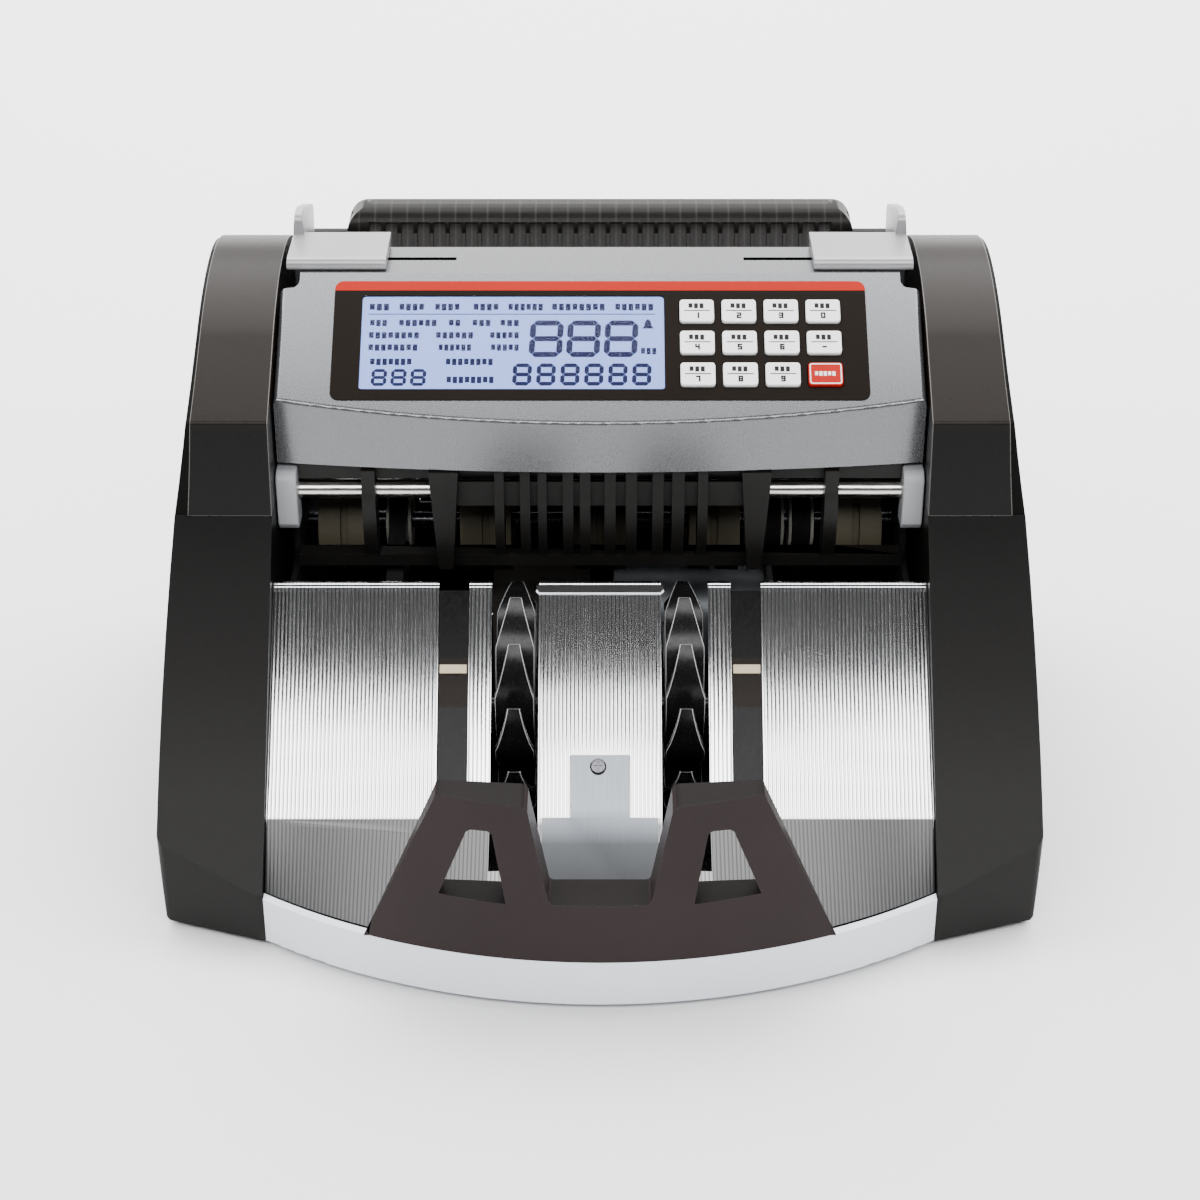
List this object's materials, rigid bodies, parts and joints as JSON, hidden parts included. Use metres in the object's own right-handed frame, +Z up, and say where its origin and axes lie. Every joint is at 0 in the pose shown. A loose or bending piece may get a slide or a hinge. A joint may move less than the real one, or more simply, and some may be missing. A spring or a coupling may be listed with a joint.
{
  "type": "banknote counter",
  "caption": "Front-loading desktop banknote counter with a tilted keypad and display, rear hopper, paddle wheels and an open stacking tray.",
  "frame": {"origin": "centre of the bounding box's footprint, at table level", "axes": "+Z up, +X to the operator's right, -Y to the front where the tray is"},
  "size_m": [0.289, 0.248, 0.1908],
  "materials": {
    "shell_dark": "satin",
    "shell_brown": "satin",
    "silver_paint": "satin",
    "rim_silver": "satin",
    "bright_plate": "brushed",
    "tray_black": "matte",
    "rubber_black": "matte",
    "rubber_beige": "matte",
    "steel": "brushed",
    "steel_black": "matte",
    "smoke": "gloss",
    "window_beige": "gloss",
    "stopper_brown": "satin",
    "black_plastic": "satin",
    "panel_black": "satin",
    "panel_red": "satin",
    "glass": "clear",
    "lcd": "satin",
    "key_white": "satin",
    "key_red": "satin",
    "hopper_grey": "satin",
    "guide_silver": "satin",
    "bracket_white": "satin",
    "pulley_white": "satin",
    "motor_steel": "satin",
    "pcb_green": "satin",
    "core_steel": "matte"
  },
  "bodies": {
    "housing": {"base_tray": "tray_black", "front_rim": "rim_silver", "rubber_feet": "rubber_black", "left_side_panel": "shell_dark", "right_side_panel": "shell_dark", "left_shoulder_cap": "shell_brown", "right_shoulder_cap": "shell_brown", "left_side_frame": "steel_black", "right_side_frame": "steel_black", "cross_bars": "steel", "stacker_plate": "bright_plate", "slot_covers": "smoke", "sensor_windows": "window_beige", "tongue_plate": "steel", "tongue_screw": "steel", "stopper": "stopper_brown", "top_cover": "silver_paint", "panel_bezel": "panel_black", "panel_strip": "panel_red", "display_glass": "glass", "display_board": "lcd", "hopper_back": "hopper_grey", "separator": "black_plastic", "guide_shaft": "steel", "shaft_brackets": "bracket_white", "outlet_comb": "black_plastic", "rear_panel": "shell_dark", "power_inlet": "black_plastic", "switch_frame": "black_plastic", "motor": "motor_steel", "belts": "rubber_black", "main_board": "pcb_green", "transformer": "core_steel"},
    "transport_roller": {"main_shaft": "steel", "main_rollers": "rubber_beige", "main_pulleys": "pulley_white"},
    "impeller_rotor": {"impellers": "black_plastic", "impeller_shaft": "steel", "impeller_pulley": "pulley_white"},
    "feed_roller": {"feed_shaft": "steel", "feed_rollers": "rubber_black", "feed_pulley": "pulley_white"},
    "motor_rotor": {"motor_shaft": "pulley_white"},
    "left_guide": {"left_hopper_guide": "guide_silver"},
    "right_guide": {"right_hopper_guide": "guide_silver"},
    "access_door": {"rear_door": "hopper_grey"},
    "gap_knob": {"thickness_knob": "black_plastic"},
    "mains_rocker": {"power_rocker": "key_red"},
    "key_1_button": {"key_1": "key_white"},
    "key_2_button": {"key_2": "key_white"},
    "key_3_button": {"key_3": "key_white"},
    "key_4_button": {"key_4": "key_white"},
    "key_5_button": {"key_5": "key_white"},
    "key_6_button": {"key_6": "key_white"},
    "key_7_button": {"key_7": "key_white"},
    "key_8_button": {"key_8": "key_white"},
    "key_9_button": {"key_9": "key_white"},
    "key_10_button": {"key_10": "key_white"},
    "key_11_button": {"key_11": "key_white"},
    "key_12_button": {"key_12": "key_red"}
  },
  "joints": [
    {"name": "transport_spin", "type": "hinge", "parent": "housing", "child": "transport_roller", "pos_m": [0, 0.042, 0.088], "axis": [1, 0, 0], "continuous": true},
    {"name": "impeller_spin", "type": "hinge", "parent": "housing", "child": "impeller_rotor", "pos_m": [0, -0.0198, 0.0494], "axis": [1, 0, 0], "continuous": true},
    {"name": "feed_spin", "type": "hinge", "parent": "housing", "child": "feed_roller", "pos_m": [0, 0.0866, 0.1233], "axis": [1, 0, 0], "continuous": true},
    {"name": "motor_spin", "type": "hinge", "parent": "housing", "child": "motor_rotor", "pos_m": [0, 0.072, 0.034], "axis": [1, 0, 0], "continuous": true},
    {"name": "left_guide_slide", "type": "slide", "parent": "housing", "child": "left_guide", "axis": [1, 0, 0], "range_m": [0, 0.035]},
    {"name": "right_guide_slide", "type": "slide", "parent": "housing", "child": "right_guide", "axis": [-1, 0, 0], "range_m": [0, 0.035]},
    {"name": "door_hinge", "type": "hinge", "parent": "housing", "child": "access_door", "pos_m": [0, 0.117, 0.058], "axis": [-1, 0, 0], "range_deg": [0, 80]},
    {"name": "knob_turn", "type": "hinge", "parent": "housing", "child": "gap_knob", "pos_m": [0, 0.119, 0.155], "axis": [0, 1, 0], "range_deg": [-150, 150]},
    {"name": "rocker_tilt", "type": "hinge", "parent": "housing", "child": "mains_rocker", "pos_m": [0.092, 0.1145, 0.03], "axis": [1, 0, 0], "range_deg": [-14, 0]},
    {"name": "key_1_press", "type": "slide", "parent": "housing", "child": "key_1_button", "axis": [0, 0.5621, -0.8271], "range_m": [0, 0.0006], "stiffness_N_per_m": 500, "springref_m": -0.0005},
    {"name": "key_2_press", "type": "slide", "parent": "housing", "child": "key_2_button", "axis": [0, 0.5621, -0.8271], "range_m": [0, 0.0006], "stiffness_N_per_m": 500, "springref_m": -0.0005},
    {"name": "key_3_press", "type": "slide", "parent": "housing", "child": "key_3_button", "axis": [0, 0.5621, -0.8271], "range_m": [0, 0.0006], "stiffness_N_per_m": 500, "springref_m": -0.0005},
    {"name": "key_4_press", "type": "slide", "parent": "housing", "child": "key_4_button", "axis": [0, 0.5621, -0.8271], "range_m": [0, 0.0006], "stiffness_N_per_m": 500, "springref_m": -0.0005},
    {"name": "key_5_press", "type": "slide", "parent": "housing", "child": "key_5_button", "axis": [0, 0.5621, -0.8271], "range_m": [0, 0.0006], "stiffness_N_per_m": 500, "springref_m": -0.0005},
    {"name": "key_6_press", "type": "slide", "parent": "housing", "child": "key_6_button", "axis": [0, 0.5621, -0.8271], "range_m": [0, 0.0006], "stiffness_N_per_m": 500, "springref_m": -0.0005},
    {"name": "key_7_press", "type": "slide", "parent": "housing", "child": "key_7_button", "axis": [0, 0.5621, -0.8271], "range_m": [0, 0.0006], "stiffness_N_per_m": 500, "springref_m": -0.0005},
    {"name": "key_8_press", "type": "slide", "parent": "housing", "child": "key_8_button", "axis": [0, 0.5621, -0.8271], "range_m": [0, 0.0006], "stiffness_N_per_m": 500, "springref_m": -0.0005},
    {"name": "key_9_press", "type": "slide", "parent": "housing", "child": "key_9_button", "axis": [0, 0.5621, -0.8271], "range_m": [0, 0.0006], "stiffness_N_per_m": 500, "springref_m": -0.0005},
    {"name": "key_10_press", "type": "slide", "parent": "housing", "child": "key_10_button", "axis": [0, 0.5621, -0.8271], "range_m": [0, 0.0006], "stiffness_N_per_m": 500, "springref_m": -0.0005},
    {"name": "key_11_press", "type": "slide", "parent": "housing", "child": "key_11_button", "axis": [0, 0.5621, -0.8271], "range_m": [0, 0.0006], "stiffness_N_per_m": 500, "springref_m": -0.0005},
    {"name": "key_12_press", "type": "slide", "parent": "housing", "child": "key_12_button", "axis": [0, 0.5621, -0.8271], "range_m": [0, 0.0006], "stiffness_N_per_m": 500, "springref_m": -0.0005}
  ],
  "couplings": [
    {"joint": "impeller_spin", "follows": "transport_spin", "ratio": 0.5},
    {"joint": "feed_spin", "follows": "transport_spin", "ratio": 1.7778},
    {"joint": "motor_spin", "follows": "transport_spin", "ratio": 1}
  ]
}
